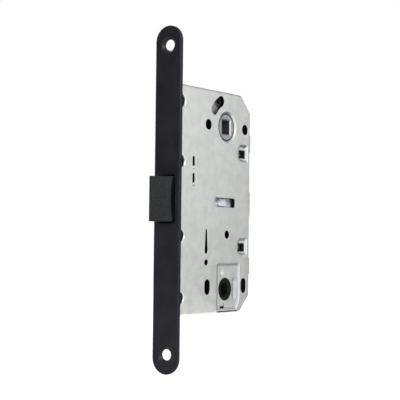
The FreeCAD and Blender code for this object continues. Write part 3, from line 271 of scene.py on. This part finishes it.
# The square and a ring at the rims' edge are painted dark: painted shade in the square hole and the gap
# around the hub.
in_square = 1.0
for axis in "XZ":
    beside = add_node(casting, "ShaderNodeMath", {"operation": "COMPARE"}, i0=hub_spot.outputs[axis],
                      i1=0.0, i2=SQUARE_HALF * MM)
    in_square = add_node(casting, "ShaderNodeMath", {"operation": "MULTIPLY"}, i0=beside.outputs[0],
                         i1=in_square).outputs[0]
level = add_node(casting, "ShaderNodeCombineXYZ", X=hub_spot.outputs["X"], Z=hub_spot.outputs["Z"])
from_axis = add_node(casting, "ShaderNodeVectorMath", {"operation": "LENGTH"}, i0=level.outputs["Vector"])
at_edge = add_node(casting, "ShaderNodeMath", {"operation": "COMPARE"}, i0=from_axis.outputs["Value"],
                   i1=EDGE_MIDDLE * MM, i2=EDGE_HALF * MM)
hub_shade_share = add_node(casting, "ShaderNodeMath", {"operation": "MAXIMUM"}, i0=at_edge.outputs[0], i1=in_square)
add_node(casting, "ShaderNodeMix", {"data_type": "RGBA"}, feeds=casting_shader.inputs["Base Color"],
         i0=hub_shade_share.outputs[0], i6=inside_shaded.outputs[2], i7=linear(HUB_SHADE))
dress(casting, "handle_follower")


# Follower eyelet: steel tube, flared and blackened, pressed into the eye of the follower's arm. It
# looks darker than the arm, with a soft shine on the flare.
blackened, *_ = finish("blackened_steel", tones=("#3a3d42", "#5a5d63"), clouds_mm=0.8,
                       rough=(0.3, 0.45), grain_mm=0.4, grain_high_mm=0.005, Metallic=1.0)
dress(blackened, "follower_eyelet")


# Retractor lever: blanked from steel plate and left bare, so it is grey, with rolling streaks
# 0.4 mm wide along it. It turns on its pin between the follower's finger and the carriage.
plate, *_ = finish("blanked_steel_plate", tones=("#85888b", "#9da0a2"), clouds_mm=8.0,
                   rough=(0.4, 0.55), grain_mm=0.4, grain_high_mm=0.01, stretch=(1.0, 1.0, 0.1), Metallic=1.0)
dress(plate, "retractor_lever")


# Pins, rivets, spacer and screws: turned or headed steel with a thin bright zinc flash, which gives
# sharp glints, and turning marks 0.2 mm apart.
flashed, *_ = finish("bright_zinc_flashed_steel", tones=("#c3c6c9", "#e2e4e6"), clouds_mm=1.5,
                     rough=(0.18, 0.34), grain_mm=0.2, grain_high_mm=0.004, Metallic=1.0)
dress(flashed, "cover_screws", "retractor_pin", "retractor_spacer", "follower_pins", "slide_guide_pins",
      "cover_rivets")


# Springs: hard-drawn steel wire and one leaf, grey, with marks 0.15 mm wide from the drawing. The two
# coil springs are wound anew here, each between its two seats along its joint's axis, hung on the
# case, and their CAD nodes are hidden.
RING_POINTS = 10
RINGS_A_TURN = 24
# Each coil has its name, the node that it stands for, its joint, and its sizes in millimetres.
COILS = (
    ("latch_coil", "latch_spring", "latch_slide",
     {"start": (8.5, 0.0, 0.0), "across": (0, 0, -1), "length": 15.05, "turns": 5.5, "radius": 3.1,
      "wire_radius": 0.4}),
    ("slide_coil", "slide_spring", "blocking_lift",
     {"start": (24.0, -3.4, 27.35), "across": (1, 0, 0), "length": 14.3, "turns": 6.5, "radius": 1.7,
      "wire_radius": 0.3}),
)
drawn, *_ = finish("drawn_spring_wire", tones=("#8e8f90", "#adaeaf"), clouds_mm=1.0, rough=(0.25, 0.4),
                   grain_mm=0.15, grain_high_mm=0.003, Metallic=1.0)


def wound(name, start, along, across, length, turns, radius, wire_radius):
    """Round wire on a helix: the centre line stands off the axis by the radius and rises by the same
    share of the length as of its turns, and each ring of points lies across the wire there."""
    start, along, across = (np.array(way, float) for way in (start, along, across))
    angle = np.linspace(0.0, 2 * np.pi * turns, round(turns * RINGS_A_TURN) + 1)[:, None]
    outward = np.cos(angle) * across + np.sin(angle) * np.cross(along, across)
    forward = np.cos(angle) * np.cross(along, across) - np.sin(angle) * across
    climb = length / (2 * np.pi * turns * radius)
    upward = (along - climb * forward) / math.hypot(1.0, climb)
    centre = start + radius * outward + along * length * angle / angle[-1]
    spin = np.linspace(0.0, 2 * np.pi, RING_POINTS, endpoint=False)[None, :, None]
    around = np.cos(spin) * outward[:, None] + np.sin(spin) * upward[:, None]
    points = centre[:, None] + wire_radius * around
    index = np.arange(len(angle) * RING_POINTS).reshape(len(angle), RING_POINTS)
    after = np.roll(index, -1, axis=1)
    sides = np.stack([index[:-1], index[1:], after[1:], after[:-1]], axis=-1).reshape(-1, 4)
    mesh = bpy.data.meshes.new(name)
    mesh.from_pydata((points.reshape(-1, 3) * MM).tolist(), [],
                     [*sides.tolist(), index[0].tolist(), index[-1][::-1].tolist()])
    mesh.shade_smooth()
    mesh.materials.append(drawn)
    piece = bpy.data.objects.new(name, mesh)
    bpy.context.scene.collection.objects.link(piece)
    return piece


joints = {joint["name"]: joint for joint in frame["joints"]}
for name, node, joint, coil in COILS:
    along = joints[joint]["axis"]
    piece = wound(name, along=along, **coil)
    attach(piece, "case")
    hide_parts(node)
    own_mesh(piece)
dress(drawn, "follower_spring", "detent_spring")


# Floor: white paper under the lock. The camera and anything glossy see it nearly white, and it
# keeps the lock's soft shadow. The world beyond it is the same white to them, and dimmer as light.
FLOOR_LEVEL = cad_box[0][2] - 0.5 * MM
FLOOR_HALF = 6.0
PAPER_GLOW = 0.62
ROOM_LEVEL = 0.36
corners = np.array([(-1, -1), (1, -1), (1, 1), (-1, 1)]) * FLOOR_HALF
floor_mesh = bpy.data.meshes.new("floor")
floor_mesh.from_pydata([(x, y, FLOOR_LEVEL) for x, y in corners.tolist()], [], [(0, 1, 2, 3)])
floor = bpy.data.objects.new("floor", floor_mesh)
bpy.context.scene.collection.objects.link(floor)
paper, paper_shader, *_ = finish("white_paper", tones=("#f2f2f2", "#f6f6f6"), clouds_mm=40.0,
                                 rough=(0.85, 0.95), grain_mm=1.0, grain_high_mm=0.01)
paper_shader.inputs["Emission Color"].default_value = linear("#ffffff")
floor_mesh.materials.append(paper)
world = bpy.data.worlds.new("studio")
world.use_nodes = True
bpy.context.scene.world = world
sky = world.node_tree.nodes["Background"]
sky.inputs["Color"].default_value = linear("#ffffff")
GLOWS = ((paper, paper_shader.inputs["Emission Strength"], 0.0, PAPER_GLOW),
         (world, sky.inputs["Strength"], ROOM_LEVEL, 1.0))
for holder, strength, as_light, as_seen in GLOWS:
    rays = add_node(holder, "ShaderNodeLightPath")
    seen = 0.0
    for ray in ("Is Camera Ray", "Is Glossy Ray", "Is Transmission Ray"):
        seen = add_node(holder, "ShaderNodeMath", {"operation": "MAXIMUM"}, i0=rays.outputs[ray],
                        i1=seen).outputs[0]
    add_node(holder, "ShaderNodeMapRange", feeds=strength, Value=seen, To_Min=as_light, To_Max=as_seen)


# Studio lamps: the key is a soft box on the faceplate's side, high and nearly along the case, so
# that the pressings show. A weak cool one fills from the side, and one behind lights the far rims.
# Each has its place and its side in metres, its power in watts and its colour.
LOCK_MIDDLE = Vector((35 * MM, 0.0, 0.0))
LAMPS = (("key", (-0.38, -0.48, 0.35), 0.30, 4.8, "#ffffff"),
         ("fill", (0.25, -0.90, 0.05), 0.50, 0.9, "#dfe6ff"),
         ("rear", (0.50, 0.70, 0.60), 0.40, 3.0, "#ffffff"))
for name, place, size, watts, colour in LAMPS:
    lamp = bpy.data.lights.new(name, "AREA")
    lamp.size = size
    lamp.energy = watts
    lamp.color = linear(colour)[:3]
    holder = bpy.data.objects.new(name, lamp)
    way = LOCK_MIDDLE - Vector(place)
    holder.matrix_world = Matrix.Translation(place) @ way.to_track_quat("-Z", "Y").to_matrix().to_4x4()
    bpy.context.scene.collection.objects.link(holder)


# Flags: black felt boards beside the lamps, which only the metal's gloss sees. They darken the
# slopes that turn away from the key, as a photographer's flags do. Each has one corner and its two
# sides in metres.
FLAGS = (("flag_rear", (0.35, -0.16, -0.09), (0.0, 0.55, 0.0), (0.0, 0.0, 0.5)),
         ("flag_low", (0.14, -0.70, -0.09), (0.46, 0.0, 0.0), (0.0, 1.2, 0.0)),
         ("flag_front", (-0.75, 0.10, -0.09), (0.45, 0.65, 0.0), (0.0, 0.0, 0.8)))
felt, *_ = finish("black_felt", tones=("#0c0c0c", "#141414"), clouds_mm=2.0, rough=(0.9, 1.0),
                  grain_mm=0.5, grain_high_mm=0.05, Specular_IOR_Level=0.1)


def flag(name, corner, side_one, side_two):
    """A flat board: every point is the corner plus a share of each of its two sides."""
    shares = np.array([(0, 0), (1, 0), (1, 1), (0, 1)], float)
    points = np.array(corner) + shares @ np.array([side_one, side_two])
    mesh = bpy.data.meshes.new(name)
    mesh.from_pydata(points.tolist(), [], [(0, 1, 2, 3)])
    mesh.materials.append(felt)
    board = bpy.data.objects.new(name, mesh)
    bpy.context.scene.collection.objects.link(board)
    board.visible_camera = False
    board.visible_diffuse = False
    board.visible_shadow = False
    return board


for name, corner, side_one, side_two in FLAGS:
    flag(name, corner, side_one, side_two)


# Camera: half a metre out, level with the lock's lower half, looking past the faceplate at the
# shell. Its place and turn come from fitting the lock's known sizes to the photograph.
CAMERA_PLACE = Vector((-498.25, -383.65, -24.62)) * MM
CAMERA_YAW = 0.62629
CAMERA_PITCH = 0.03858
CAMERA_ROLL = 0.01108
FOCAL_PIXELS = 1122.86
FRAME_PIXELS = 400
SENSOR_WIDTH = 36.0
lens = bpy.data.cameras.new("camera")
lens.sensor_width = SENSOR_WIDTH
lens.lens = FOCAL_PIXELS / FRAME_PIXELS * SENSOR_WIDTH
camera = bpy.data.objects.new("camera", lens)
turn = Euler((math.pi / 2 + CAMERA_PITCH, 0.0, CAMERA_YAW - math.pi / 2)).to_matrix()
turn = turn @ Matrix.Rotation(CAMERA_ROLL, 3, "Z")
camera.matrix_world = Matrix.Translation(CAMERA_PLACE) @ turn.to_4x4()
bpy.context.scene.collection.objects.link(camera)
bpy.context.scene.camera = camera
bpy.context.scene.view_settings.view_transform = "Standard"
